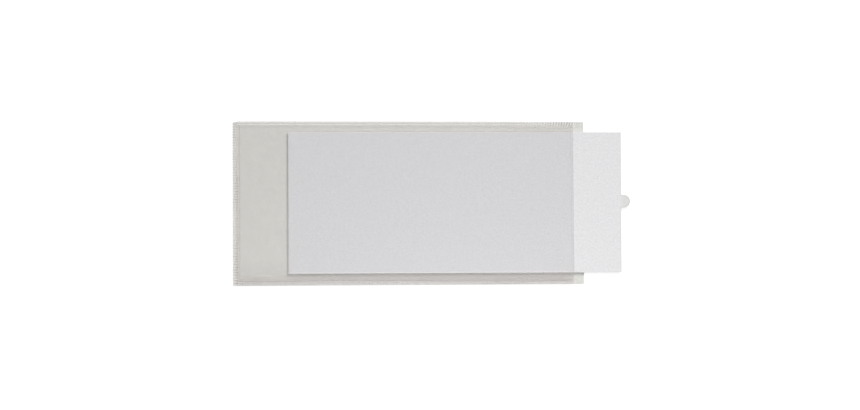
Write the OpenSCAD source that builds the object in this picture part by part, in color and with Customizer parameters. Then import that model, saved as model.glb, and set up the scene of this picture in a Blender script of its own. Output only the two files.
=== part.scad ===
// Self-adhesive label holder: a clear pocket welded on three sides, with a pull-out card in it.
// It lies flat with its window up. The origin is the middle of the adhesive face. X runs towards
// the open mouth, Y across the pocket, and Z away from the surface that the holder is stuck to.

/* [Holder] */
// Length of the back sheet, from the closed end to the edge of the lip
holder_l = 140; // [90:1:300]
// Width of the back sheet, across the pocket
holder_w = 65; // [30:1:150]
// Radius of the die-cut outer corners
corner_r = 0.5; // [0.2:0.1:1.2]
// Length of the lip, where the back sheet reaches past the front film at the mouth
lip_l = 4; // [1:0.5:10]

/* [Sheets] */
// Thickness of the clear front film
film_t = 0.2; // [0.15:0.05:0.4]
// Thickness of the back sheet
back_t = 0.25; // [0.15:0.05:0.6]
// Thickness of the adhesive coat
adhesive_t = 0.1; // [0.05:0.01:0.3]
// Thickness of the release liner
liner_t = 0.1; // [0.05:0.01:0.3]

/* [Welds] */
// Width of the weld along the upper edge
top_weld_w = 1.5; // [1:0.1:4]
// Width of the weld along the lower edge
bottom_weld_w = 1.6; // [1:0.1:4]
// Width of the weld across the closed end
end_weld_w = 2; // [1:0.1:4]
// Width of the smooth bead squeezed out along the inner edge of each weld
bead_w = 0.4; // [0.2:0.05:0.6]
// Height of that bead above the welded film
bead_h = 0.1; // [0.04:0.02:0.2]
// Width over which the film rises from a side weld to the window
side_rise_w = 2; // [0.8:0.1:4]
// Width over which the film rises from the end weld to the window
end_rise_w = 0.5; // [0.4:0.1:3]

/* [Knurl] */
// Distance from one knurl groove to the next
knurl_pitch = 1.07; // [0.8:0.01:2]
// Width of a knurl groove
groove_w = 0.6; // [0.3:0.05:0.7]
// Depth of a knurl groove
groove_d = 0.1; // [0.04:0.01:0.12]

/* [Card] */
// Thickness of the label card
card_t = 0.3; // [0.15:0.05:0.8]
// Room under the card and above it in the pocket
card_gap = 0.06; // [0.03:0.01:0.3]
// Room between a long edge of the card and the rise of the film
side_clear = 0.8; // [0.4:0.1:3]
// Room between the closed end's rise and the card when it is pushed home
end_clear = 0.1; // [0.1:0.1:3]
// How far the card lies above the middle of the pocket, towards the upper weld
card_shift = 0.25; // [-0.3:0.05:0.3]
// How far the card is pulled out of the pocket
pulled_out = 19.2; // [0:0.1:60]
// Width of the pull tab on the card's free end
tab_w = 5.2; // [3:0.1:12]
// Length of the tab's straight neck, before its round end
tab_neck_l = 1; // [0.7:0.1:8]
// Radius of the fillets where the tab leaves the card
tab_fillet = 0.5; // [0.2:0.1:0.6]
// How far the tab lies above the middle of the card's end
tab_shift = 0.4; // [-5:0.1:5]

/* [Hidden] */
$fn = 64;
// Straight stretches that make up one bead and one rise of the film
bead_steps = 6;
rise_steps = 10;
// How far a cutting shape reaches past what it cuts
over = 1;

// Heights of the sheets, from the adhesive face up
back_z = adhesive_t;
pocket_z = back_z + back_t;
pocket_h = card_t + 2 * card_gap;
window_z = pocket_z + pocket_h;

// Places along the pocket: closed end, inner edge of its weld, start of the window, mouth
end_x = -holder_l / 2;
end_weld_x = end_x + end_weld_w;
window_x = end_weld_x + end_rise_w;
mouth_x = holder_l / 2 - lip_l;

// Places across the pocket, above and below its middle
edge_y = holder_w / 2;
top_weld_y = edge_y - top_weld_w;
top_window_y = top_weld_y - side_rise_w;
bottom_weld_y = -edge_y + bottom_weld_w;
bottom_window_y = bottom_weld_y + side_rise_w;

// The card fills the flat part of the pocket and ends flush with the film when it is home
card_l = mouth_x - window_x - end_clear;
card_w = top_window_y - bottom_window_y - 2 * side_clear;
card_x = window_x + end_clear + pulled_out;
card_y = (top_window_y + bottom_window_y) / 2 + card_shift;
tab_r = tab_w / 2;

// A groove is a round cut whose radius gives the stated width and depth
groove_r = (groove_w * groove_w / 4 + groove_d * groove_d) / (2 * groove_d);

// Share of the rise that the film has climbed at the fraction s of the rise's width
function climbed(s) = (1 - cos(180 * s)) / 2;

// Outline of the holder, with its rounded corners
module holder_outline() {
    square([holder_l - 2 * corner_r, holder_w], center = true);
    square([holder_l, holder_w - 2 * corner_r], center = true);
    for (x = [-1, 1], y = [-1, 1])
        translate([x * (holder_l / 2 - corner_r), y * (holder_w / 2 - corner_r)])
            circle(r = corner_r);
}

// Section of the front film at a weld: flat weld, bead, then the rise to the window
module weld_section(weld_w, rise_w) {
    bead = [for (i = [0 : bead_steps]) let (s = i / bead_steps)
        [weld_w - bead_w * (1 - s), film_t + bead_h * sin(180 * s)]];
    upper = [for (i = [1 : rise_steps]) let (s = i / rise_steps)
        [weld_w + rise_w * s, film_t + pocket_h * climbed(s)]];
    lower = [for (i = [rise_steps : -1 : 0]) let (s = i / rise_steps)
        [weld_w + rise_w * s, pocket_h * climbed(s)]];
    polygon(concat([[0, 0], [0, film_t]], bead, upper, lower));
}

// Row of knurl grooves along +X, cut from the edge at y = 0 down to y = -length
module knurl(row_l, length) {
    count = floor(row_l / knurl_pitch);
    first = (row_l - (count - 1) * knurl_pitch) / 2;
    for (i = [0 : count - 1])
        translate([first + i * knurl_pitch, over, film_t + groove_r - groove_d])
            rotate([90, 0, 0])
                cylinder(r = groove_r, h = length + over);
}

// Weld along the upper edge, mitred against the rise at the closed end
module side_weld(weld_w) {
    weld_y = edge_y - weld_w;
    rise_y = weld_y - side_rise_w;
    translate([0, 0, pocket_z])
        difference() {
            intersection() {
                translate([mouth_x, edge_y, 0])
                    rotate([90, 0, -90])
                        linear_extrude(height = mouth_x - end_weld_x)
                            weld_section(weld_w, side_rise_w);
                translate([0, 0, -over])
                    linear_extrude(height = pocket_h + film_t + 2 * over)
                        polygon([
                            [end_weld_x, edge_y + over],
                            [mouth_x + over, edge_y + over],
                            [mouth_x + over, rise_y - over],
                            [window_x, rise_y - over],
                            [window_x, rise_y],
                            [end_weld_x, weld_y]
                        ]);
            }
            translate([end_weld_x, edge_y, 0])
                knurl(mouth_x - end_weld_x, weld_w - bead_w);
        }
}

// Siliconised paper that covers the adhesive until the holder is used
module release_liner() {
    color([0.87, 0.88, 0.84])
        translate([0, 0, -liner_t])
            linear_extrude(height = liner_t)
                holder_outline();
}

// Adhesive coat over the whole back
module adhesive_layer() {
    color([0.9, 0.9, 0.84])
        linear_extrude(height = adhesive_t)
            holder_outline();
}

// Clear back sheet of the pocket, which ends in the lip at the mouth
module back_sheet() {
    color([0.85, 0.86, 0.83])
        translate([0, 0, back_z])
            linear_extrude(height = back_t)
                holder_outline();
}

// Knurled weld of the front film along the upper edge
module top_weld() {
    color([0.78, 0.78, 0.76])
        side_weld(top_weld_w);
}

// Knurled weld of the front film along the lower edge
module bottom_weld() {
    color([0.78, 0.78, 0.76])
        mirror([0, 1, 0])
            side_weld(bottom_weld_w);
}

// Knurled weld of the front film across the closed end, which takes both corners
module end_weld() {
    color([0.76, 0.76, 0.74])
        translate([0, 0, pocket_z])
            difference() {
                intersection() {
                    translate([end_x, edge_y, 0])
                        rotate([90, 0, 0])
                            linear_extrude(height = holder_w)
                                weld_section(end_weld_w, end_rise_w);
                    translate([0, 0, -over])
                        linear_extrude(height = pocket_h + film_t + 2 * over)
                            intersection() {
                                holder_outline();
                                polygon([
                                    [end_x - over, edge_y + over],
                                    [end_weld_x, edge_y + over],
                                    [end_weld_x, top_weld_y],
                                    [window_x, top_window_y],
                                    [window_x, bottom_window_y],
                                    [end_weld_x, bottom_weld_y],
                                    [end_weld_x, -edge_y - over],
                                    [end_x - over, -edge_y - over]
                                ]);
                            }
                }
                translate([end_x, -edge_y, 0])
                    rotate([0, 0, 90])
                        knurl(holder_w, end_weld_w - bead_w);
            }
}

// Flat clear panel of the front film over the card
module front_window() {
    color([0.84, 0.85, 0.84, 0.4])
        translate([window_x, bottom_window_y, window_z])
            cube([mouth_x - window_x, top_window_y - bottom_window_y, film_t]);
}

// Label card with the half-round tab by which it is pulled out
module label_card() {
    color([0.9, 0.9, 0.91])
        translate([card_x, card_y, pocket_z + card_gap])
            linear_extrude(height = card_t) {
                translate([0, -card_w / 2])
                    square([card_l, card_w]);
                translate([card_l, tab_shift])
                    pull_tab();
            }
}

// Outline of the tab, from the card's end at x = 0
module pull_tab() {
    translate([-tab_fillet, -tab_r])
        square([tab_neck_l + tab_fillet, tab_w]);
    translate([tab_neck_l, 0])
        circle(r = tab_r);
    for (lower = [0, 1])
        mirror([0, lower])
            translate([0, tab_r])
                tab_root();
}

// Concave fillet at the upper root of the tab, where the card's edge meets the neck
module tab_root() {
    difference() {
        square(2 * tab_fillet, center = true);
        translate([tab_fillet, tab_fillet])
            circle(r = tab_fillet);
    }
}

release_liner();
adhesive_layer();
back_sheet();
top_weld();
bottom_weld();
end_weld();
front_window();
label_card();
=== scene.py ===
"""Dressed model of a self-adhesive label holder: clear films, knurled welds, a paper liner and a card."""
import math
from collections import namedtuple

import bmesh
import bpy
from mathutils import Matrix, Vector, noise


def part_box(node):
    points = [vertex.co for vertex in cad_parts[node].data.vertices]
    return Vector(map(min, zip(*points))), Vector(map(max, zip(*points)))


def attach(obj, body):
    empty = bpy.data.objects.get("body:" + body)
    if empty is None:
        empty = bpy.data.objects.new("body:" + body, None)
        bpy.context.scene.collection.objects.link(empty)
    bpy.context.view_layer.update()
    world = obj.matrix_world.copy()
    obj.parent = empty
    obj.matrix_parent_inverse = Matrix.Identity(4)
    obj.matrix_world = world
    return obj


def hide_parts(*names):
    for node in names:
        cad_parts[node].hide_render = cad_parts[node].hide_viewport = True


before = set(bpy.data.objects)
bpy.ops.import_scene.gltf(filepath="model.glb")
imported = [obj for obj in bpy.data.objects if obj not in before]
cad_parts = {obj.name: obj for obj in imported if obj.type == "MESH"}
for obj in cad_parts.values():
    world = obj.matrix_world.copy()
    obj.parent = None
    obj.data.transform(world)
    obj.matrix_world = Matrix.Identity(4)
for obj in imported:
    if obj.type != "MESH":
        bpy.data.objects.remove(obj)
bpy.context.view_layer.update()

mm = 0.001

# Places taken from the frame
HOLDER_LOW, HOLDER_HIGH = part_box("back_sheet")
WINDOW_LOW, WINDOW_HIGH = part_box("front_window")
CARD_LOW, CARD_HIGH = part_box("label_card")
LINER_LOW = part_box("release_liner")[0]
END_X = HOLDER_LOW[0]
LIP_X = HOLDER_HIGH[0]
MOUTH_X = WINDOW_HIGH[0]
TOP_Y = HOLDER_HIGH[1]
BOTTOM_Y = HOLDER_LOW[1]
BACK_Z = HOLDER_LOW[2]
POCKET_Z = HOLDER_HIGH[2]
POCKET_H = WINDOW_LOW[2] - POCKET_Z
FILM_T = WINDOW_HIGH[2] - WINDOW_LOW[2]

# Radius of the holder's outer corners, and stations over one of them
CORNER_R = 0.5 * mm
CORNER_STEPS = 4

# Margins of the front film: its welds, the bead along a weld's inner edge, and the rises to the window
TOP_WELD = 1.5 * mm
BOTTOM_WELD = 1.6 * mm
END_WELD = 2.0 * mm
BEAD_W = 0.4 * mm
BEAD_H = 0.1 * mm
TOP_WELD_Y = TOP_Y - TOP_WELD
BOTTOM_WELD_Y = BOTTOM_Y + BOTTOM_WELD
END_WELD_X = END_X + END_WELD
TOP_RISE = TOP_WELD_Y - WINDOW_HIGH[1]
BOTTOM_RISE = WINDOW_LOW[1] - BOTTOM_WELD_Y
END_RISE = WINDOW_LOW[0] - END_WELD_X

# Knurl pressed into the welds
PITCH = 1.07 * mm
GROOVE_W = 0.62 * mm
GROOVE_D = 0.13 * mm
STEPS_PER_GROOVE = 10

# Hair gap that keeps the faces of neighbouring sheets from lying in one plane
HAIR = 0.006 * mm


# Meshes

# How much of the film's climb eases in and out, where 0 would make it straight
RISE_SOFTNESS = 0.3


def stations(*runs):
    """Places along one direction, in runs of (start, end, steps) that follow on from each other."""
    places = [runs[0][0]]
    for start, end, steps in runs:
        places += [start + (end - start) * step / steps for step in range(1, steps + 1)]
    return places


def rounded(x, y):
    """A point of the holder's square outline moved to its rounded outline."""
    over_x = abs(x) - (LIP_X - CORNER_R)
    over_y = abs(y) - (TOP_Y - CORNER_R)
    if over_x <= 0 or over_y <= 0:
        return x, y
    draw_in = max(over_x, over_y) / math.hypot(over_x, over_y)
    new_x = LIP_X - CORNER_R + over_x * draw_in
    new_y = TOP_Y - CORNER_R + over_y * draw_in
    return math.copysign(new_x, x), math.copysign(new_y, y)


def flat(height):
    """A face of a sheet that lies at one height all over."""
    return lambda x, y: height


def sheet(xs, ys, top, under, marks=None, plan=rounded):
    """Closed sheet over the stations xs and ys, with its faces at the heights top(x, y) and under(x, y).

    Marks are named numbers, worked out from x and y, that its materials and later steps read.
    Plan moves each point to its last place in plan.
    """
    bm = bmesh.new()
    layers = {name: bm.verts.layers.float.new(name) for name in marks or {}}
    columns = len(xs) - 1
    rows = len(ys) - 1
    bmesh.ops.create_grid(bm, x_segments=columns, y_segments=rows, size=1.0)
    for vert in bm.verts:
        column = round((vert.co.x + 1) / 2 * columns)
        row = round((vert.co.y + 1) / 2 * rows)
        vert.co = (xs[column], ys[row], 0)
    raised = bmesh.ops.extrude_face_region(bm, geom=bm.faces[:])["geom"]
    upper = {part for part in raised if isinstance(part, bmesh.types.BMVert)}
    for vert in bm.verts:
        x, y, _ = vert.co
        for name, layer in layers.items():
            vert[layer] = marks[name](x, y)
        height = top(x, y) if vert in upper else under(x, y)
        vert.co = (*plan(x, y), height)
    bmesh.ops.recalc_face_normals(bm, faces=bm.faces[:])
    return bm


def dress(name, bm, materials, body, node, crisp=40):
    """Finished piece from a bmesh, on a body and in place of a node. Edges over crisp degrees stay sharp."""
    mesh = bpy.data.meshes.new(name)
    bm.to_mesh(mesh)
    bm.free()
    for material in materials:
        mesh.materials.append(material)
    mesh.shade_smooth()
    mesh.set_sharp_from_angle(angle=math.radians(crisp))
    piece = bpy.data.objects.new(name, mesh)
    bpy.context.scene.collection.objects.link(piece)
    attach(piece, body)
    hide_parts(node)
    return piece


def eased(share):
    """Smooth step from 0 to 1 as the share goes from 0 to 1."""
    share = min(max(share, 0.0), 1.0)
    return (1 - math.cos(math.pi * share)) / 2


def climbed(share):
    """Ramp from 0 to 1 with softened ends, as the share goes from 0 to 1."""
    share = min(max(share, 0.0), 1.0)
    return share - RISE_SOFTNESS * math.sin(math.tau * share) / math.tau


def tent(off, half_width):
    """Share of a line that is full in its middle and has faded out at its half width."""
    return max(0.0, 1 - abs(off) / half_width)


def level(points, place):
    """Value at a place on the straight lines between (place, value) points."""
    if place <= points[0][0]:
        return points[0][1]
    for (start, low), (end, high) in zip(points, points[1:]):
        if place <= end:
            return low + (high - low) * (place - start) / (end - start)
    return points[-1][1]


def ripple(x, y, along, across, seed):
    """Smooth unevenness between about -1 and 1, with waves of the given lengths along X and across Y."""
    return noise.noise(Vector((x / along, y / across, seed)))


def waver(place, length, seed):
    """Smooth unevenness between about -1 and 1 in one direction, with waves of the given length."""
    return ripple(place, 0, length, 1, seed)


# The front film: window, and the rises to the three welds

# Slack of the film: height, length and width of its waves, and the power of the film's lift that holds them
# down on the rises
WAVE_H = 0.05 * mm
WAVE_L = 45 * mm
WAVE_W = 16 * mm
WAVE_SEED = 1.3
WAVE_HOLD = 4
# How much wider the lower rise is than the margin left for it, and the waves in the width of both rises
BOTTOM_WIDER = 1.1
BOTTOM_WANDER = 0.22
BOTTOM_WANDER_L = 10 * mm
BOTTOM_SEED = 7.7
TOP_WANDER = 0.16
TOP_WANDER_L = 13 * mm
TOP_SEED = 3.3
# Puckers along a rise: their height and spacing, two waves by which they wander (as shares of the spacing),
# and their middle strength and how it varies in patches
CREASE_H = 0.008 * mm
CREASE_GAP = 0.95 * mm
LONG_WANDER = 0.8
LONG_WANDER_L = 9 * mm
SHORT_WANDER = 0.4
SHORT_WANDER_L = 3.5 * mm
CREASE_STRENGTH = 0.6
CREASE_VARIES = 0.8
CREASE_PATCH_L = 16 * mm
CREASE_PATCH_W = 1.5 * mm
TOP_CREASE_SEED = 2.1
BOTTOM_CREASE_SEED = 4.6
# Steps from a pucker's own seed to those of its short wave and of its patches
SHORT_SEED_STEP = 5
PATCH_SEED_STEP = 9
# Ends of the darker lines along the mouth, as distances in from the cut edge
MOUTH_LINES = ((0.0, 0.3 * mm), (0.85 * mm, 1.05 * mm))
# Length over which the film bends up to the mouth, and by how much
MOUTH_BEND = 1.7 * mm
MOUTH_LIFT = 0.05 * mm
# The cut at the mouth runs askew: it falls back by this much at its upper end, worked in over this length
MOUTH_SKEW = 0.3 * mm
SKEW_LENGTH = 8 * mm
# How far the lower weld's inner edge lies from its true line at places along the pocket (outwards where
# negative), and how far to either side of that line the film and the weld follow it
LINE_DRIFT = ((-66 * mm, -0.08 * mm), (-60 * mm, -0.16 * mm), (-52 * mm, -0.2 * mm), (-44 * mm, 0),
              (-18 * mm, 0), (0, -0.15 * mm), (16 * mm, -0.32 * mm), (48 * mm, -0.5 * mm))
DRIFT_REACH = 1.5 * mm
# Painted shade line along the top of the rise at the closed end: its place, half width and strength
END_LINE_X = END_WELD_X + END_RISE + 0.1 * mm
END_LINE_W = 0.4 * mm
END_LINE_SHADE = 0.66
# Length over which the film's painted shades change beside the card's inner end
BY_CARD_FADE = 4 * mm
# The strip along the lower weld is darker with painted shade from this far below the card's edge down, at
# places along the pocket, and fades out above that over this length
STRIP_IN = ((-50 * mm, 0.6 * mm), (-46 * mm, 1.0 * mm), (-15 * mm, 1.0 * mm), (20 * mm, 0.65 * mm))
STRIP_FADE = 0.5 * mm
# Strength of that shade at places along the card, and in the open pocket beside it
STRIP_SHADE = ((-20 * mm, 0.555), (5 * mm, 0.68))
OPEN_SHADE = 0.36
# How much the shade of the strip varies in streaks along it, and the streaks' length and width
STREAK_SHARE = 0.35
STREAK_L = 14 * mm
STREAK_W = 0.7 * mm
STREAK_SEED = 6.2
# Fainter painted shade above the strip in the open pocket, and how far up it fades
TAIL_SHADE = 0.17
TAIL_LENGTH = 7 * mm
# Painted shade line along the lower weld's inner edge: its width, and its strength before it is cut off at 1
INNER_LINE_W = 0.55 * mm
INNER_LINE_SHADE = 1.6
# Painted shadow lines just outside the card's upper and lower edges: their strength, for the lower one at
# places along the pocket, and the width over which they fade
CARD_LINE_SHADE = 1.0
UNDER_LINE_SHADE = ((-46 * mm, 0.6), (-30 * mm, 1.0), (20 * mm, 1.0), (40 * mm, 0))
CARD_LINE_W = 0.5 * mm
# Painted shade and highlight of the upper knurl's strokes on the film near the mouth: where along the pocket
# they start and are full, how far down they reach, and their strength, painted shade on the grooves and
# painted highlight between them
PAINTED_KNURL_START = 38 * mm
PAINTED_KNURL_FULL = 43 * mm
PAINTED_KNURL_REACH = 1.5 * mm
PAINTED_KNURL_SHADE = 0.5
PAINTED_KNURL_GLINT = 0.85
# Painted highlights over the card's lower and upper edges: how far in from its edge each lies, its strength,
# and for both the half width and the length over which they start at the card's inner end
LOW_GLINT_IN = 0.3 * mm
LOW_GLINT = 0.42
TOP_GLINT_IN = 0.2 * mm
TOP_GLINT = 0.22
GLINT_W = 0.32 * mm
GLINT_FADE = 0.5 * mm
# A small blister of the film at the closed end, by the lower weld: its middle, half sizes and height, and the
# width of its steep rim as a share of its size
BLISTER_X = -58 * mm
BLISTER_Y = -29.4 * mm
BLISTER_L = 4.6 * mm
BLISTER_W = 1.3 * mm
BLISTER_H = 0.22 * mm
BLISTER_RIM = 0.55
# Painted highlight round the upper half of the blister: its strength, and its place and half width as shares
# of the blister's size
RIM_GLINT = 0.25
RIM_GLINT_AT = 0.85
RIM_GLINT_W = 0.25
# How far into the window the closely spaced stations reach from the lower and from the upper rise
FINE_BELOW = 2 * mm
FINE_ABOVE = 1 * mm


def crease(distance, rise, x, seed):
    """Fine puckers that run along a rise and wander up and down it."""
    share = distance / rise
    if not 0 < share < 1:
        return 0.0
    long_wave = LONG_WANDER * waver(x, LONG_WANDER_L, seed)
    short_wave = SHORT_WANDER * waver(x, SHORT_WANDER_L, seed + SHORT_SEED_STEP)
    patch = ripple(x, distance, CREASE_PATCH_L, CREASE_PATCH_W, seed + PATCH_SEED_STEP)
    height = CREASE_H * (CREASE_STRENGTH + CREASE_VARIES * patch)
    pucker = math.sin(math.tau * (distance / CREASE_GAP + long_wave + short_wave))
    return height * pucker * math.sin(math.pi * share)


def top_rise(x):
    """Width of the rise from the upper weld, which wanders a little."""
    return TOP_RISE * (1 + TOP_WANDER * waver(x, TOP_WANDER_L, TOP_SEED))


def bottom_rise(x):
    """Width of the rise from the lower weld, which wanders more."""
    return BOTTOM_RISE * (BOTTOM_WIDER + BOTTOM_WANDER * waver(x, BOTTOM_WANDER_L, BOTTOM_SEED))


def from_blister(x, y):
    """Distance from the blister's middle, as a share of its size."""
    return math.hypot((x - BLISTER_X) / BLISTER_L, (y - BLISTER_Y) / BLISTER_W)


def blister(x, y):
    """Height of the blister, which is steepest round its rim."""
    return BLISTER_H * eased((1 - from_blister(x, y)) / BLISTER_RIM)


def film_lift(x, y):
    """Share of the pocket's height that the film has climbed."""
    from_top = climbed((TOP_WELD_Y - y) / top_rise(x))
    from_bottom = climbed((y - BOTTOM_WELD_Y) / bottom_rise(x))
    return from_top * from_bottom * climbed((x - END_WELD_X) / END_RISE)


def film_under(x, y):
    """Height of the front film's underside."""
    lift = film_lift(x, y)
    slack = WAVE_H * (1 + ripple(x, y, WAVE_L, WAVE_W, WAVE_SEED)) / 2
    bend = MOUTH_LIFT * max(0.0, (x - MOUTH_X + MOUTH_BEND) / MOUTH_BEND)
    top_puckers = crease(TOP_WELD_Y - y, top_rise(x), x, TOP_CREASE_SEED)
    bottom_puckers = crease(y - BOTTOM_WELD_Y, bottom_rise(x), x, BOTTOM_CREASE_SEED)
    loose = (slack + bend) * lift ** WAVE_HOLD
    return POCKET_Z + HAIR + POCKET_H * lift + loose + top_puckers + bottom_puckers + blister(x, y)


def film_top(x, y):
    """Height of the front film's outer face."""
    return film_under(x, y) + FILM_T


def beside_card(x):
    """Share, from 0 to 1, by which a place along the pocket has passed the card's inner end."""
    return eased((x - CARD_LOW[0]) / BY_CARD_FADE + 0.5)


def toward_mouth(x):
    """Share, from 0 to 1, by which a place along the pocket lies in the stretch near the mouth."""
    return eased((x - PAINTED_KNURL_START) / (PAINTED_KNURL_FULL - PAINTED_KNURL_START))


def painted_knurl_light(x, y, shift):
    """Share of the upper knurl's painted shade and highlight on the film near the mouth, read at a shift
    along it.
    """
    near_weld = 1 - eased((TOP_WELD_Y - y) / PAINTED_KNURL_REACH)
    return near_weld * toward_mouth(x) * groove_at(PAINTED_KNURL, x + shift, TOP_WELD)


def strip_shade(x, y):
    """Painted shade of the strip along the lower weld, and of its fainter tail in the open pocket."""
    by_card = beside_card(x)
    streak = 1 + STREAK_SHARE * ripple(x, y, STREAK_L, STREAK_W, STREAK_SEED)
    below = 1 - eased((y - CARD_LOW[1] + level(STRIP_IN, x)) / STRIP_FADE)
    strip = (OPEN_SHADE + (level(STRIP_SHADE, x) - OPEN_SHADE) * by_card) * below * streak
    tail = TAIL_SHADE * (1 - by_card) * (1 - eased((y - CARD_LOW[1]) / TAIL_LENGTH))
    return max(strip, tail)


def past_edge(out):
    """Share of the painted shadow line along an edge of the card, at a distance out from that edge."""
    return tent(out, CARD_LINE_W) if out >= 0 else 0.0


def line_shade(x, y):
    """Painted shade lines along the lower weld and the closed end, and painted shadow along the card's long
    edges.
    """
    along_bottom = min(1.0, INNER_LINE_SHADE * tent(y - BOTTOM_WELD_Y, INNER_LINE_W))
    along_end = END_LINE_SHADE * tent(x - END_LINE_X, END_LINE_W)
    over_card = CARD_LINE_SHADE * past_edge(y - CARD_HIGH[1])
    under_card = level(UNDER_LINE_SHADE, x) * past_edge(CARD_LOW[1] - y)
    return max(along_bottom, along_end, beside_card(x) * max(over_card, under_card))


def film_shade(x, y):
    """Mark for the film's painted shade: the strip, the shade and shadow lines and the knurl's grooves."""
    return max(strip_shade(x, y), line_shade(x, y), PAINTED_KNURL_SHADE * painted_knurl_light(x, y, 0))


def card_glint(x, y):
    """Painted highlights over the card's two long edges. The upper one ends where the knurl's painted strokes
    start.
    """
    low = LOW_GLINT * tent(y - CARD_LOW[1] - LOW_GLINT_IN, GLINT_W)
    top = TOP_GLINT * tent(y - CARD_HIGH[1] + TOP_GLINT_IN, GLINT_W) * (1 - toward_mouth(x))
    return max(low, top) * eased((x - CARD_LOW[0]) / GLINT_FADE)


def blister_glint(x, y):
    """Painted highlight round the upper half of the blister."""
    upper_half = eased(2 * (y - BLISTER_Y) / BLISTER_W)
    return RIM_GLINT * tent(from_blister(x, y) - RIM_GLINT_AT, RIM_GLINT_W) * upper_half


def film_glint(x, y):
    """Mark for the film's painted highlights: over the card's edges, on the blister and between the knurl's
    grooves.
    """
    between_grooves = painted_knurl_light(x, y, PITCH / 2)
    return max(card_glint(x, y), blister_glint(x, y), PAINTED_KNURL_GLINT * between_grooves)


def mouth_line(x, y):
    """Mark for the darker lines along the mouth."""
    inward = MOUTH_X - x
    return float(any(start - HAIR <= inward <= end + HAIR for start, end in MOUTH_LINES))


def drifting(x, y):
    """Plan near the lower weld, whose inner edge is not quite straight along the pocket."""
    return rounded(x, y + level(LINE_DRIFT, x) * tent(y - BOTTOM_WELD_Y, DRIFT_REACH))


def askew(x, y):
    """Plan of the front film, whose end at the mouth is cut slightly out of square."""
    near_mouth = eased((x - MOUTH_X + SKEW_LENGTH) / SKEW_LENGTH)
    up = (y - BOTTOM_WELD_Y) / (TOP_WELD_Y - BOTTOM_WELD_Y)
    return drifting(x - MOUTH_SKEW * near_mouth * up, y)


def front_film(clear, edge):
    """The clear front film inside its welds, with darker lines along its cut edge and bend at the mouth."""
    (_, edge_line), (bend_start, bend_end) = MOUTH_LINES
    xs = stations(
        (END_WELD_X + HAIR, END_LINE_X + END_LINE_W, 16),
        (END_LINE_X + END_LINE_W, BLISTER_X + BLISTER_L, 50),
        (BLISTER_X + BLISTER_L, PAINTED_KNURL_START, 100),
        (PAINTED_KNURL_START, MOUTH_X - MOUTH_BEND, 150),
        (MOUTH_X - MOUTH_BEND, MOUTH_X - bend_end, 2),
        (MOUTH_X - bend_end, MOUTH_X - bend_start, 1),
        (MOUTH_X - bend_start, MOUTH_X - edge_line, 2),
        (MOUTH_X - edge_line, MOUTH_X, 2),
    )
    ys = stations(
        (BOTTOM_WELD_Y + HAIR, WINDOW_LOW[1] + FINE_BELOW, 40),
        (WINDOW_LOW[1] + FINE_BELOW, WINDOW_HIGH[1] - FINE_ABOVE, 40),
        (WINDOW_HIGH[1] - FINE_ABOVE, TOP_WELD_Y - HAIR, 30),
    )
    marks = {"shade": film_shade, "glint": film_glint, "mouth_line": mouth_line}
    bm = sheet(xs, ys, film_top, film_under, marks, askew)
    lines = bm.verts.layers.float["mouth_line"]
    for face in bm.faces:
        if all(vert[lines] for vert in face.verts):
            face.material_index = 1
    return dress("front_film", bm, [clear, edge], "holder", "front_window")


# The knurled welds

# One weld: its width, how far its grooves run in from the edge and over what length they fade in (both at
# places along it), where it turns to its bead's tone, where its row of grooves starts and how long that is,
# how hard the grooves are pressed and how dark its rim and its edge are (all at places along it), and the
# seed of its unevenness
Weld = namedtuple("Weld", "width stroke entry bead start length pressed rim edge seed")
# How far the upper weld's edge is squeezed out past the back sheet, and how far in from the edge the pieces
# beside it are drawn out in line with it
FLASH = 0.2 * mm
FLASH_REACH = 0.6 * mm
# Shade of a weld that has no dark rim or edge
NO_SHADE = ((0, 0),)
UPPER_PRESS = ((4 * mm, 0), (12 * mm, 0.05), (30 * mm, 0.05), (42 * mm, 0.18), (50 * mm, 0.24),
               (55 * mm, 0.38), (60 * mm, 0.66), (66 * mm, 0.74))
UPPER_RIM = ((40 * mm, 0.22), (52 * mm, 0.06))
UPPER_EDGE = ((38 * mm, 0.6), (50 * mm, 0.36))
UPPER = Weld(width=TOP_WELD + FLASH, stroke=((0, 1.9 * mm),), entry=((0, 0.1 * mm),), bead=1.5 * mm,
             start=END_WELD_X, length=MOUTH_X - END_WELD_X, pressed=UPPER_PRESS, rim=UPPER_RIM,
             edge=UPPER_EDGE, seed=1.7)
# The same grooves, all fully pressed, for their painted shade and highlight on the film
PAINTED_KNURL = UPPER._replace(pressed=((0, 1),), stroke=((0, UPPER.width + PAINTED_KNURL_REACH),))
LOWER_PRESS = ((-40 * mm, 0.24), (-34 * mm, 0.18), (-27 * mm, 0.26), (-5 * mm, 0.26), (2 * mm, 0.18),
               (24 * mm, 0.18), (30 * mm, 0.44), (44 * mm, 0.44), (50 * mm, 0.2))
LOWER_RIM = ((-22 * mm, 0), (5 * mm, 0.07))
LOWER = Weld(width=BOTTOM_WELD, stroke=((0, 1.7 * mm),), entry=((0, 0.1 * mm),), bead=1.2 * mm,
             start=END_WELD_X, length=MOUTH_X - END_WELD_X, pressed=LOWER_PRESS, rim=LOWER_RIM,
             edge=NO_SHADE, seed=5.4)
CLOSED_PRESS = ((-32 * mm, 0.54), (-20 * mm, 0.54), (-14 * mm, 0.34), (-4 * mm, 0.3), (1 * mm, 0.56),
                (6 * mm, 0.5), (10 * mm, 0.42), (20 * mm, 0.46), (30 * mm, 0.58))
CLOSED_STROKE = ((10 * mm, 2.3 * mm), (17 * mm, 1.3 * mm))
CLOSED_ENTRY = ((10 * mm, 1.0 * mm), (17 * mm, 0.1 * mm))
CLOSED = Weld(width=END_WELD, stroke=CLOSED_STROKE, entry=CLOSED_ENTRY, bead=1.3 * mm, start=BOTTOM_Y,
              length=TOP_Y - BOTTOM_Y, pressed=CLOSED_PRESS, rim=NO_SHADE, edge=NO_SHADE, seed=8.2)

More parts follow.
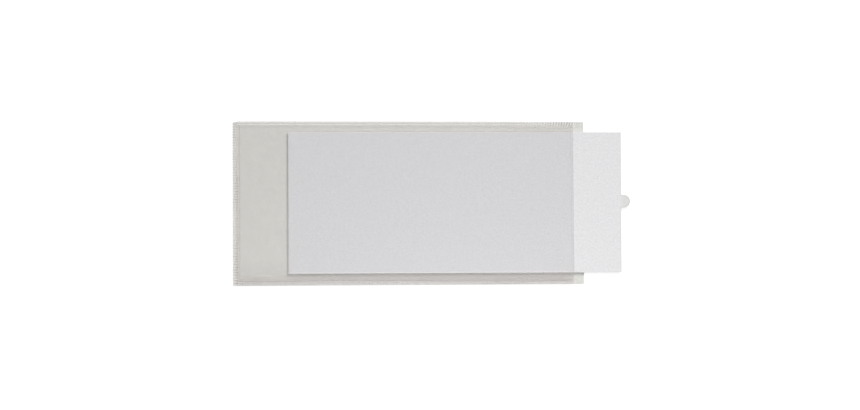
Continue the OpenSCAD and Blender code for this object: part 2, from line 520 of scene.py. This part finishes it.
# Rounding of a weld's outer edge: its width and its drop
EDGE_ROUND = 0.12 * mm
EDGE_DROP = 0.05 * mm
# Dark line along a weld's rim: how far in from the edge it lies, and its half width
RIM_IN = 0.8 * mm
RIM_W = 0.4 * mm
# Share of its depth with which a groove starts at the edge, the length over which it runs out, and how much
# and how fast the depth varies from groove to groove
GROOVE_START = 0.4
RUN_OUT = 0.5 * mm
GROOVE_VARIES = 0.08
GROOVES_PER_WAVE = 0.7
# Height of the bead as a share of its full height, how much that varies, and over what length
BEAD_SHARE = 0.8
BEAD_VARIES = 0.06
BEAD_WAVE_L = 6 * mm
# Step from a weld's own seed to that of its bead
BEAD_SEED_STEP = 3
# How far the upper weld's grooves lean, for their length, at the mouth, and over what length that fades
SLANT = 0.25
SLANT_LENGTH = 12 * mm
# How far a full groove pushes the edge out at the closed end, how far in that reaches, and where the groove
# is read
TOOTH = 0.5 * mm
TOOTH_REACH = 0.4 * mm
TOOTH_START = 0.1 * mm


def groove_at(weld, place, inward):
    """Share of the full groove depth at a place along a weld, at a distance in from its outer edge."""
    count = math.floor(weld.length / PITCH)
    first = weld.start + (weld.length - (count - 1) * PITCH) / 2
    nearest = round((place - first) / PITCH)
    if not 0 <= nearest < count:
        return 0.0
    off = abs(place - first - nearest * PITCH) / (GROOVE_W / 2)
    if off >= 1:
        return 0.0
    single = 1 + GROOVE_VARIES * waver(nearest, GROOVES_PER_WAVE, weld.seed)
    pressed = level(weld.pressed, first + nearest * PITCH) * single
    fade_in = GROOVE_START + (1 - GROOVE_START) * eased(inward / level(weld.entry, place))
    run_out = eased((level(weld.stroke, place) - inward) / RUN_OUT)
    return pressed * fade_in * run_out * math.cos(math.pi / 2 * off) ** 2


def dark_at(weld, place, inward):
    """Mark for the dark parts of a weld: its grooves, partly painted shade, the line along its rim and its
    edge.
    """
    line = level(weld.rim, place) * tent(inward - RIM_IN, RIM_W)
    edge = level(weld.edge, place) * (1 - eased((inward - FLASH) / EDGE_ROUND))
    return max(groove_at(weld, place, inward), line, edge)


def bead_at(weld, inward):
    """Mark for the smooth inner part of a weld, where its bead is."""
    return eased((inward - weld.bead) / BEAD_W + 0.5)


def weld_height(weld, place, inward):
    """Height of a weld's outer face over the back sheet: rounded edge, knurl, then the smooth bead."""
    edge_drop = EDGE_DROP * tent(inward, EDGE_ROUND) ** 2
    to_bead = (inward - weld.width + BEAD_W) / BEAD_W
    bead = 0.0
    if to_bead > 0:
        uneven = BEAD_SHARE + BEAD_VARIES * waver(place, BEAD_WAVE_L, weld.seed + BEAD_SEED_STEP)
        bead = BEAD_H * uneven * math.sin(math.pi * min(to_bead, 1.0))
    return FILM_T - edge_drop - GROOVE_D * groove_at(weld, place, inward) + bead


def squeezed(y):
    """How far a piece beside the upper weld is drawn out in line with that weld's edge."""
    return FLASH * eased((y - TOP_Y + FLASH_REACH) / FLASH_REACH)


def across_weld(outer, inner):
    """Stations across a weld, from its outer edge to its inner one."""
    way = 1 if inner > outer else -1
    return stations(
        (outer, outer + way * EDGE_ROUND, 2),
        (outer + way * EDGE_ROUND, inner - way * BEAD_W, 7),
        (inner - way * BEAD_W, inner - way * HAIR, 8),
    )


def along_weld(weld, first, last):
    """Stations along a weld, with some to each groove."""
    return stations((first, last, STEPS_PER_GROOVE * math.floor(weld.length / PITCH)))


def weld_band(name, node, weld, xs, ys, spot, frosted, plan):
    """Knurled weld. Spot gives the place along the weld and the distance in from its edge."""
    def top(x, y):
        return POCKET_Z + weld_height(weld, *spot(x, y))

    marks = {
        "dark": lambda x, y: dark_at(weld, *spot(x, y)),
        "bead": lambda x, y: bead_at(weld, spot(x, y)[1]),
    }
    bm = sheet(xs, ys, top, flat(POCKET_Z + HAIR), marks, plan)
    return dress(name, bm, [frosted], "holder", node)


def upper_weld(frosted):
    """Weld along the upper edge, whose grooves lean over near the mouth."""
    def spot(x, y):
        return x, TOP_Y + FLASH - y

    def leaning(x, y):
        _, inward = spot(x, y)
        near_mouth = eased((x - MOUTH_X + SLANT_LENGTH) / SLANT_LENGTH) * eased((MOUTH_X - x) / PITCH)
        return rounded(x + SLANT * near_mouth * (UPPER.width - inward), y)

    xs = along_weld(UPPER, END_WELD_X + HAIR, MOUTH_X)
    ys = sorted(across_weld(TOP_Y + FLASH, TOP_WELD_Y))
    return weld_band("upper_weld_band", "top_weld", UPPER, xs, ys, spot, frosted, leaning)


def lower_weld(frosted):
    """Weld along the lower edge."""
    def spot(x, y):
        return x, y - BOTTOM_Y

    xs = along_weld(LOWER, END_WELD_X + HAIR, MOUTH_X)
    ys = across_weld(BOTTOM_Y, BOTTOM_WELD_Y)
    return weld_band("lower_weld_band", "bottom_weld", LOWER, xs, ys, spot, frosted, drifting)


def closed_end_weld(frosted):
    """Weld across the closed end, whose edge is toothed by the grooves. Flash fills its upper corner."""
    def spot(x, y):
        return y, x - END_X

    def toothed(x, y):
        push = TOOTH * groove_at(CLOSED, y, TOOTH_START) * tent(x - END_X, TOOTH_REACH)
        new_x, new_y = (x, y) if y > 0 else rounded(x, y)
        return new_x - push, new_y + squeezed(y)

    xs = across_weld(END_X, END_WELD_X)
    ys = along_weld(CLOSED, BOTTOM_Y, TOP_Y)
    return weld_band("end_weld_band", "end_weld", CLOSED, xs, ys, spot, frosted, toothed)


# The back sheet and its adhesive coat

# Faint lines pressed in the lip: distances in from its upper edge, half width and depth
LIP_LINES = (0.6 * mm, 1.4 * mm, 2.2 * mm)
LIP_LINE_W = 0.3 * mm
LIP_LINE_D = 0.03 * mm
# Painted shade for the card's shadow on the lower part of the lip: all over it, close to the card's edge, and
# how far both fade
LIP_SHADE = 0.45
LIP_EDGE_SHADE = 1.0
LIP_FADE = 3.0 * mm
# Parts of the back sheet with closer stations: the height of the one that holds the lip's lines, and the
# length of the one just past the mouth
LIP_LINES_H = 2.6 * mm
LIP_START_L = 0.2 * mm
# A face of the back sheet is a cut edge if its normal rises by less than this
CUT_FACE_RISE = 0.3


def lip_line(x, y):
    """Mark for the faint lines that the weld bar leaves on the lip."""
    return float(x > MOUTH_X) * max(tent(TOP_Y - y - line, LIP_LINE_W) for line in LIP_LINES)


def lip_lines_and_shade(x, y):
    """Mark for the darker parts of the lip: its lines, its upper edge, and the card's painted shadow below
    its edge.
    """
    below = CARD_LOW[1] - y
    near_edge = 1 - eased(abs(below) / LIP_FADE)
    low = (LIP_SHADE + (LIP_EDGE_SHADE - LIP_SHADE) * near_edge) * eased(1 + below / LIP_FADE)
    edge = eased((y - TOP_Y + FLASH) / FLASH)
    return max(lip_line(x, y), edge, low)


def drawn_out(x, y):
    """Plan of the back sheet, whose lip is squeezed out at its upper edge in line with the weld."""
    new_x, new_y = rounded(x, y)
    return new_x, new_y + squeezed(y) * float(x > MOUTH_X)


def back_top(x, y):
    """Height of the back sheet's outer face, with the lines on the lip pressed in."""
    return POCKET_Z - LIP_LINE_D * lip_line(x, y)


def back_sheet(clear, cut, bare):
    """The clear back sheet, which ends in the bare lip at the mouth."""
    xs = stations(
        (END_X, END_X + CORNER_R, CORNER_STEPS),
        (END_X + CORNER_R, MOUTH_X, 4),
        (MOUTH_X, MOUTH_X + LIP_START_L, 2),
        (MOUTH_X + LIP_START_L, LIP_X - CORNER_R, 2),
        (LIP_X - CORNER_R, LIP_X, CORNER_STEPS),
    )
    ys = stations(
        (BOTTOM_Y, CARD_LOW[1] + LIP_FADE, 40),
        (CARD_LOW[1] + LIP_FADE, TOP_Y - LIP_LINES_H, 2),
        (TOP_Y - LIP_LINES_H, TOP_Y, 26),
    )
    bm = sheet(xs, ys, back_top, flat(BACK_Z), {"shade": lip_lines_and_shade}, drawn_out)
    for face in bm.faces:
        if abs(face.normal.z) < CUT_FACE_RISE:
            face.material_index = 1
        elif face.calc_center_median().x > MOUTH_X:
            face.material_index = 2
    return dress("back_sheet_clear", bm, [clear, cut, bare], "holder", "back_sheet")


def over_corners(low, high):
    """Stations from one edge of the holder to the other, close together over its rounded corners."""
    return stations(
        (low, low + CORNER_R, CORNER_STEPS),
        (low + CORNER_R, high - CORNER_R, 2),
        (high - CORNER_R, high, CORNER_STEPS),
    )


def adhesive_coat(clear):
    """Clear adhesive over the whole back, a hair off the back sheet and off the liner."""
    xs = over_corners(END_X, LIP_X)
    ys = over_corners(BOTTOM_Y, TOP_Y)
    bm = sheet(xs, ys, flat(BACK_Z - HAIR), flat(HAIR))
    return dress("adhesive_coat", bm, [clear], "holder", "adhesive_layer")


# The card

# How far its cut edges are eased, the distance within which its corners are one point, and, in degrees, the
# angle below which its faces are joined and the least angle of an edge of its outline
CARD_EDGE = 0.08 * mm
ONE_POINT = 0.001 * mm
FLAT_ANGLE = 1
OUTLINE_ANGLE = 60
# A face of the card is flat paper if its normal rises by at least this, and cut edge if not
CARD_FACE_RISE = 0.99
# Where the tab starts to turn grey, where it is fully grey, and its tone there
TAB_ROOT_X = CARD_HIGH[0] - 4.4 * mm
TAB_GREY_X = CARD_HIGH[0] - 2.4 * mm
TAB_GREY = (0.72, 0.719, 0.703)
# Middle of the tab's tones: how far it lies in from the tip and above the card's middle, and the point itself
TAB_MIDDLE_IN = 2.9 * mm
TAB_MIDDLE_UP = 0.4 * mm
TAB_MIDDLE = (CARD_HIGH[0] - TAB_MIDDLE_IN, (CARD_LOW[1] + CARD_HIGH[1]) / 2 + TAB_MIDDLE_UP, CARD_HIGH[2])
# Distances from that point between which the tab turns to the darker tone of its rim, a painted shade, and
# that tone
TAB_RIM_SHADE_AT = (1.9 * mm, 2.8 * mm)
TAB_RIM_SHADE = (0.65, 0.649, 0.633)


def label_card(paper_face, edge_highlight):
    """The card and its tab, from the frame's own shape, with eased edges in paler paper as a painted
    highlight.
    """
    bm = bmesh.new()
    bm.from_mesh(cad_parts["label_card"].data)
    bmesh.ops.remove_doubles(bm, verts=bm.verts[:], dist=ONE_POINT)
    bmesh.ops.dissolve_limit(bm, angle_limit=math.radians(FLAT_ANGLE), verts=bm.verts[:], edges=bm.edges[:])
    outline = [edge for edge in bm.edges if edge.calc_face_angle(0.0) > math.radians(OUTLINE_ANGLE) and
               edge.verts[0].co.z == edge.verts[1].co.z]
    bmesh.ops.bevel(bm, geom=outline, offset=CARD_EDGE, segments=2, profile=0.5, affect="EDGES", material=-1)
    for face in bm.faces:
        if abs(face.normal.z) < CARD_FACE_RISE:
            face.material_index = 1
    return dress("card_with_tab", bm, [paper_face, edge_highlight], "card", "label_card", crisp=15)


# Materials

WHITE = (1, 1, 1, 1)
# Range in which most values of a noise lie
NOISE_LOW = 0.25
NOISE_HIGH = 0.75
# Clear film: width, stretch and depth of its streaks, size of its clouds, by what share its haze varies with
# them, its roughness, how much it bends light, and how much of a painted highlight on it is white matt colour
FILM_STREAK_W = 1.1 * mm
FILM_STREAK_STRETCH = (0.07, 1, 1)
FILM_STREAK_D = 0.012 * mm
FILM_CLOUD = 9 * mm
HAZE_VARIES = 0.3
FILM_ROUGHNESS = (0.1, 0.18)
FILM_BEND = 1.5
GLINT_SHARE = 0.72
# Film frosted by a weld: size and depth of its patches, its roughness, the share of it that is bloom, and the
# dark tone of its grooves, partly the clearer pressed film and partly painted shade in them
FROST_SIZE = 1.6 * mm
FROST_D = 0.004 * mm
FROST_ROUGHNESS = (0.3, 0.45)
FROST_SHARE = (0.285, 0.315)
GROOVE_TONE = (0.42, 0.39, 0.375)
# Cut edge of a film: size of its nicks, its tint, its two tones, its roughness and how dense it is
NICK_SIZE = 0.5 * mm
CUT_TINT = (0.8, 0.8, 0.78)
CUT_TONES = ((0.32, 0.32, 0.31), (0.46, 0.46, 0.44))
CUT_ROUGHNESS = (0.3, 0.5)
CUT_SHARE = (0.6, 0.8)
# Adhesive: size of its clouds, its tint, its two tones, its roughness and how dense it is
GUM_CLOUD = 2.5 * mm
GUM_TINT = (0.99, 0.99, 0.98)
GUM_TONES = ((0.74, 0.74, 0.68), (0.82, 0.82, 0.77))
GUM_ROUGHNESS = (0.2, 0.35)
GUM_SHARE = (0.04, 0.1)
# Paper: width and stretch of its fibres, its roughness and its sheen
FIBRE_W = 0.5 * mm
FIBRE_STRETCH = (0.25, 1, 1)
PAPER_ROUGHNESS = (0.75, 0.95)
PAPER_SHEEN = 0.2


def new_material(name):
    """Empty node material."""
    material = bpy.data.materials.new(name)
    material.use_nodes = True
    material.node_tree.nodes.clear()
    return material, material.node_tree


def add(tree, kind, inputs=None, **settings):
    """New node of one kind, with its settings, and with a value or a link on each input given."""
    node = tree.nodes.new(kind)
    for name, value in settings.items():
        setattr(node, name, value)
    for name, value in (inputs or {}).items():
        if isinstance(value, bpy.types.NodeSocket):
            tree.links.new(value, node.inputs[name])
        else:
            node.inputs[name].default_value = value
    return node


def mixed(tree, factor, first, second):
    """Two shaders mixed by a factor."""
    return add(tree, "ShaderNodeMixShader", {0: factor, 1: first, 2: second}).outputs[0]


def see_through(tree, tint=WHITE):
    """Shader that lets light through, tinted."""
    return add(tree, "ShaderNodeBsdfTransparent", {"Color": tint}).outputs[0]


def matt(tree, tone):
    """Matt shader of one tone."""
    return add(tree, "ShaderNodeBsdfDiffuse", {"Color": tone}).outputs[0]


def place_on(tree, stretch=(1, 1, 1)):
    """Object coordinates, drawn out along an axis where its stretch is under 1."""
    place = add(tree, "ShaderNodeTexCoord").outputs["Object"]
    return add(tree, "ShaderNodeMapping", {"Vector": place, "Scale": stretch}).outputs["Vector"]


def mottle(tree, place, size, detail=2.0, rough=0.5):
    """Noise whose patches are about the given size."""
    grain = {"Vector": place, "Scale": 1 / size, "Detail": detail, "Roughness": rough}
    return add(tree, "ShaderNodeTexNoise", grain).outputs["Fac"]


def ramp(tree, value, start, end, low=0.0, high=1.0):
    """Value that goes from low to high as another goes from start to end."""
    ends = {"Value": value, "From Min": start, "From Max": end, "To Min": low, "To Max": high}
    return add(tree, "ShaderNodeMapRange", ends).outputs["Result"]


def spread(tree, value, low, high):
    """The middle range of a noise value stretched from low to high."""
    return ramp(tree, value, NOISE_LOW, NOISE_HIGH, low, high)


def maths(tree, operation, first, second):
    """Two values put through one operation, such as MULTIPLY."""
    return add(tree, "ShaderNodeMath", {0: first, 1: second}, operation=operation).outputs[0]


def tones(tree, value, dark, light):
    """Colour between two tones, by a noise value."""
    node = add(tree, "ShaderNodeValToRGB", {"Fac": value})
    ends = node.color_ramp.elements
    ends[0].position = NOISE_LOW
    ends[0].color = (*dark, 1)
    ends[1].position = NOISE_HIGH
    ends[1].color = (*light, 1)
    return node.outputs["Color"]


def blended(tree, share, first, second):
    """Colour that goes from the first to the second with a share. Each is a colour or a link."""
    colours = [c if isinstance(c, bpy.types.NodeSocket) else (*c, 1) for c in (first, second)]
    node = add(tree, "ShaderNodeMix", data_type="RGBA")
    for name, value in zip(("Factor_Float", "A_Color", "B_Color"), (share, *colours)):
        socket = next(s for s in node.inputs if s.identifier == name)
        if isinstance(value, bpy.types.NodeSocket):
            tree.links.new(value, socket)
        else:
            socket.default_value = value
    return next(s for s in node.outputs if s.identifier == "Result_Color")


def mark(tree, name):
    """One of the marks that a sheet carries."""
    return add(tree, "ShaderNodeAttribute", attribute_name=name).outputs["Fac"]


def bumped(tree, height, depth):
    """Normal of a surface with small relief of the given depth."""
    return add(tree, "ShaderNodeBump", {"Height": height, "Distance": depth}).outputs["Normal"]


def finish_clear(tree, skin):
    """Shows the skin on the side where light goes in, and lets it out again untouched."""
    inside = add(tree, "ShaderNodeNewGeometry").outputs["Backfacing"]
    surface = mixed(tree, inside, skin, see_through(tree))
    add(tree, "ShaderNodeOutputMaterial", {"Surface": surface})


def clear_film(name, tint, milky, haze, shade_tint=None, bright=None):
    """Clear soft film with a satin gloss and faint streaks, darker with painted shade and lighter with
    painted highlights.
    """
    material, tree = new_material(name)
    streaks = mottle(tree, place_on(tree, FILM_STREAK_STRETCH), FILM_STREAK_W, detail=3)
    cloud = mottle(tree, place_on(tree), FILM_CLOUD)
    normal = bumped(tree, streaks, FILM_STREAK_D)
    through = blended(tree, mark(tree, "shade"), tint, shade_tint) if shade_tint else (*tint, 1)
    veil = spread(tree, cloud, haze * (1 - HAZE_VARIES), haze * (1 + HAZE_VARIES))
    body = mixed(tree, veil, see_through(tree, through), matt(tree, (*milky, 1)))
    if bright:
        share = maths(tree, "MULTIPLY", mark(tree, "glint"), GLINT_SHARE)
        body = mixed(tree, share, body, matt(tree, (*bright, 1)))
    gloss = add(tree, "ShaderNodeBsdfGlossy", {
        "Color": WHITE,
        "Normal": normal,
        "Roughness": spread(tree, streaks, *FILM_ROUGHNESS),
    }).outputs[0]
    shine = add(tree, "ShaderNodeFresnel", {"IOR": FILM_BEND, "Normal": normal}).outputs[0]
    finish_clear(tree, mixed(tree, shine, body, gloss))
    return material


def welded_film(name, dark, light, bead):
    """Film frosted by the weld. One tone colours both its bloom and the light that it lets through."""
    material, tree = new_material(name)
    patches = mottle(tree, place_on(tree), FROST_SIZE, detail=3)
    smooth = blended(tree, mark(tree, "bead"), tones(tree, patches, dark, light), bead)
    tone = blended(tree, mark(tree, "dark"), smooth, GROOVE_TONE)
    bloom = add(tree, "ShaderNodeBsdfPrincipled", {
        "Base Color": tone,
        "Roughness": spread(tree, patches, *FROST_ROUGHNESS),
        "Normal": bumped(tree, patches, FROST_D),
    }).outputs[0]
    finish_clear(tree, mixed(tree, spread(tree, patches, *FROST_SHARE), see_through(tree, tone), bloom))
    return material


def cut_film(name):
    """Cut edge of a film, where the light inside it comes out grey."""
    material, tree = new_material(name)
    nicks = mottle(tree, place_on(tree), NICK_SIZE, detail=3)
    grey = add(tree, "ShaderNodeBsdfPrincipled", {
        "Base Color": tones(tree, nicks, *CUT_TONES),
        "Roughness": spread(tree, nicks, *CUT_ROUGHNESS),
    }).outputs[0]
    clear = see_through(tree, (*CUT_TINT, 1))
    finish_clear(tree, mixed(tree, spread(tree, nicks, *CUT_SHARE), clear, grey))
    return material


def adhesive_gum(name):
    """Clear pressure-sensitive coat, slightly uneven."""
    material, tree = new_material(name)
    cloud = mottle(tree, place_on(tree), GUM_CLOUD, detail=3)
    body = add(tree, "ShaderNodeBsdfPrincipled", {
        "Base Color": tones(tree, cloud, *GUM_TONES),
        "Roughness": spread(tree, cloud, *GUM_ROUGHNESS),
    }).outputs[0]
    clear = see_through(tree, (*GUM_TINT, 1))
    finish_clear(tree, mixed(tree, spread(tree, cloud, *GUM_SHARE), clear, body))
    return material


def tab_grey_and_rim_shade(tree, tone):
    """The card's tone, turned grey on the tab, and darker grey round the tab's rim as painted shade."""
    spot = place_on(tree)
    along = add(tree, "ShaderNodeSeparateXYZ", {"Vector": spot}).outputs["X"]
    out = add(tree, "ShaderNodeVectorMath", {0: spot, 1: TAB_MIDDLE}, operation="DISTANCE").outputs["Value"]
    grey = blended(tree, ramp(tree, out, *TAB_RIM_SHADE_AT), TAB_GREY, TAB_RIM_SHADE)
    return blended(tree, ramp(tree, along, TAB_ROOT_X, TAB_GREY_X), tone, grey)


def paper(name, dark, light, grain, relief, tabbed=False):
    """Matt paper with fine grain and longer fibres. Tabbed paper turns grey on the card's tab."""
    material, tree = new_material(name)
    specks = mottle(tree, place_on(tree), grain, detail=3, rough=0.65)
    fibres = mottle(tree, place_on(tree, FIBRE_STRETCH), FIBRE_W, detail=4, rough=0.7)
    tone = tones(tree, specks, dark, light)
    surface = add(tree, "ShaderNodeBsdfPrincipled", {
        "Base Color": tab_grey_and_rim_shade(tree, tone) if tabbed else tone,
        "Roughness": spread(tree, fibres, *PAPER_ROUGHNESS),
        "Specular IOR Level": PAPER_SHEEN,
        "Normal": bumped(tree, fibres, relief),
    }).outputs[0]
    add(tree, "ShaderNodeOutputMaterial", {"Surface": surface})
    return material


# Floor, light and camera

# Clear faces that light may cross on its way down to the liner and out again
CLEAR_FACES = 32
# Floor: its side, how far it lies under the liner, its tone, and how much and over what size that varies
FLOOR_SIZE = 4.0
FLOOR_GAP = 0.02 * mm
FLOOR_TONE = 0.4
FLOOR_VARIES = 0.01
FLOOR_PATCH = 30 * mm
# Glow that whitens the floor, near the holder and far from it, and the distances between which it changes
FLOOR_GLOW = (0.75, 0.9)
FLOOR_GLOW_AT = (0.3, 0.9)
# Camera: the point that it aims at, its distance, its tilts and roll from straight above, its lens, the
# nearest that it sees and the width of its sensor
CAMERA_AIM = Vector((8.174, -0.65, 0.0)) * mm
CAMERA_DISTANCE = 700 * mm
CAMERA_TILT_X = math.radians(1.316)
CAMERA_TILT_Y = math.radians(-4.044)
CAMERA_ROLL = math.radians(-0.234)
CAMERA_LENS = 73.42
CAMERA_NEAR = 10 * mm
SENSOR_W = 36.0


def seen_white(tree):
    """1 for rays that show a background: those of the camera, and those that a gloss or a glass sends on."""
    path = add(tree, "ShaderNodeLightPath").outputs
    direct = maths(tree, "MAXIMUM", path["Is Camera Ray"], path["Is Glossy Ray"])
    return maths(tree, "MAXIMUM", direct, path["Is Transmission Ray"])


def floor_paint():
    """Pale matt paint that is seen as white, and clear from below."""
    material, tree = new_material("pale_floor")
    dust = mottle(tree, place_on(tree), FLOOR_PATCH)
    shade = tones(tree, dust, (FLOOR_TONE - FLOOR_VARIES,) * 3, (FLOOR_TONE + FLOOR_VARIES,) * 3)
    out = add(tree, "ShaderNodeVectorMath", {0: place_on(tree)}, operation="LENGTH").outputs["Value"]
    strength = maths(tree, "MULTIPLY", seen_white(tree), ramp(tree, out, *FLOOR_GLOW_AT, *FLOOR_GLOW))
    glow = add(tree, "ShaderNodeEmission", {"Strength": strength}).outputs[0]
    lit = add(tree, "ShaderNodeAddShader", {0: matt(tree, shade), 1: glow}).outputs[0]
    below = add(tree, "ShaderNodeNewGeometry").outputs["Backfacing"]
    add(tree, "ShaderNodeOutputMaterial", {"Surface": mixed(tree, below, lit, see_through(tree))})
    return material


def floor():
    """Plain pale floor under the holder."""
    bm = bmesh.new()
    bmesh.ops.create_grid(bm, x_segments=1, y_segments=1, size=FLOOR_SIZE / 2)
    bmesh.ops.translate(bm, vec=(0, 0, LINER_LOW[2] - FLOOR_GAP), verts=bm.verts[:])
    mesh = bpy.data.meshes.new("floor")
    bm.to_mesh(mesh)
    bm.free()
    mesh.materials.append(floor_paint())
    ground = bpy.data.objects.new("floor", mesh)
    bpy.context.scene.collection.objects.link(ground)


def sky(strength):
    """Even light from all round, seen as plain white."""
    world = bpy.data.worlds.new("studio")
    world.use_nodes = True
    tree = world.node_tree
    tree.nodes.clear()
    even = add(tree, "ShaderNodeBackground", {"Strength": strength}).outputs[0]
    white = add(tree, "ShaderNodeBackground", {"Color": WHITE, "Strength": 1.0}).outputs[0]
    add(tree, "ShaderNodeOutputWorld", {"Surface": mixed(tree, seen_white(tree), even, white)})
    bpy.context.scene.world = world


def lamp(name, azimuth, elevation, distance, size, share, shadow=True):
    """Square soft box aimed at the holder. Share is how much of a white surface's brightness it gives."""
    azimuth = math.radians(azimuth)
    elevation = math.radians(elevation)
    out = math.cos(elevation)
    way = Vector((out * math.cos(azimuth), out * math.sin(azimuth), math.sin(elevation)))
    light = bpy.data.lights.new(name, "AREA")
    light.shape = "SQUARE"
    light.size = size
    light.use_shadow = shadow
    light.energy = share * math.pi ** 2 * distance ** 2 / math.sin(elevation)
    box = bpy.data.objects.new(name, light)
    box.location = way * distance
    box.rotation_euler = way.to_track_quat("Z", "Y").to_euler()
    bpy.context.scene.collection.objects.link(box)


def camera():
    """Camera nearly straight above the window."""
    data = bpy.data.cameras.new("camera")
    data.sensor_fit = "HORIZONTAL"
    data.sensor_width = SENSOR_W
    data.lens = CAMERA_LENS
    data.clip_start = CAMERA_NEAR
    tilt = Matrix.Rotation(CAMERA_TILT_Y, 4, "Y") @ Matrix.Rotation(CAMERA_TILT_X, 4, "X")
    turn = tilt @ Matrix.Rotation(CAMERA_ROLL, 4, "Z")
    eye = bpy.data.objects.new("camera", data)
    eye.matrix_world = Matrix.Translation(CAMERA_AIM) @ turn @ Matrix.Translation((0, 0, CAMERA_DISTANCE))
    bpy.context.scene.collection.objects.link(eye)
    bpy.context.scene.camera = eye


camera()
floor()
sky(strength=0.525)
lamp("key_box", azimuth=56, elevation=28, distance=3.2, size=1.1, share=0.47)
lamp("fill_box", azimuth=-79, elevation=35, distance=0.2, size=0.1, share=0.137, shadow=False)

# Each film's shade tint is painted shade laid where its shade mark says, and the window film's bright tone is
# its painted highlight
window_film = clear_film("window_film", tint=(0.925, 0.919, 0.921), milky=(0.85, 0.85, 0.86), haze=0.05,
                         shade_tint=(0.765, 0.73, 0.742), bright=(1.0, 0.94, 0.92))
window_edge = clear_film("window_edge", tint=(0.87, 0.865, 0.865), milky=(0.65, 0.65, 0.65), haze=0.08)
back_film = clear_film("back_film", tint=(0.955, 0.955, 0.952), milky=(0.8, 0.8, 0.79), haze=0.05)
lip_film = clear_film("lip_film", tint=(0.948, 0.946, 0.95), milky=(0.8, 0.8, 0.8), haze=0.05,
                      shade_tint=(0.88, 0.88, 0.878))
upper_weld_film = welded_film("upper_weld_film", dark=(0.97, 0.965, 0.965), light=(0.985, 0.98, 0.98),
                              bead=(0.92, 0.912, 0.905))
lower_weld_film = welded_film("lower_weld_film", dark=(0.896, 0.884, 0.892), light=(0.911, 0.899, 0.907),
                              bead=(0.864, 0.848, 0.853))
end_weld_film = welded_film("end_weld_film", dark=(0.985, 0.97, 0.97), light=(1.0, 0.985, 0.985),
                            bead=(0.9, 0.875, 0.868))
cut_edge = cut_film("cut_edge")
gum = adhesive_gum("gum")
card_face = paper("card_face", dark=(0.703, 0.702, 0.714), light=(0.833, 0.832, 0.845), grain=0.8 * mm,
                  relief=0.006 * mm, tabbed=True)
# Paler paper for the card's eased edges, a painted highlight along them
card_edge_highlight = paper("card_edge_highlight", dark=(0.84, 0.84, 0.83), light=(0.92, 0.92, 0.91), grain=0.3 * mm,
                  relief=0.01 * mm)
liner_stock = paper("liner_stock", dark=(0.828, 0.824, 0.8), light=(0.891, 0.887, 0.863), grain=0.7 * mm,
                    relief=0.004 * mm)

front_film(window_film, window_edge)
upper_weld(upper_weld_film)
lower_weld(lower_weld_film)
closed_end_weld(end_weld_film)
back_sheet(back_film, cut_edge, lip_film)
adhesive_coat(gum)
label_card(card_face, card_edge_highlight)
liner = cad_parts["release_liner"]
liner.data.materials.clear()
liner.data.materials.append(liner_stock)

bpy.context.scene.view_settings.view_transform = "Standard"
bpy.context.scene.cycles.transparent_max_bounces = CLEAR_FACES
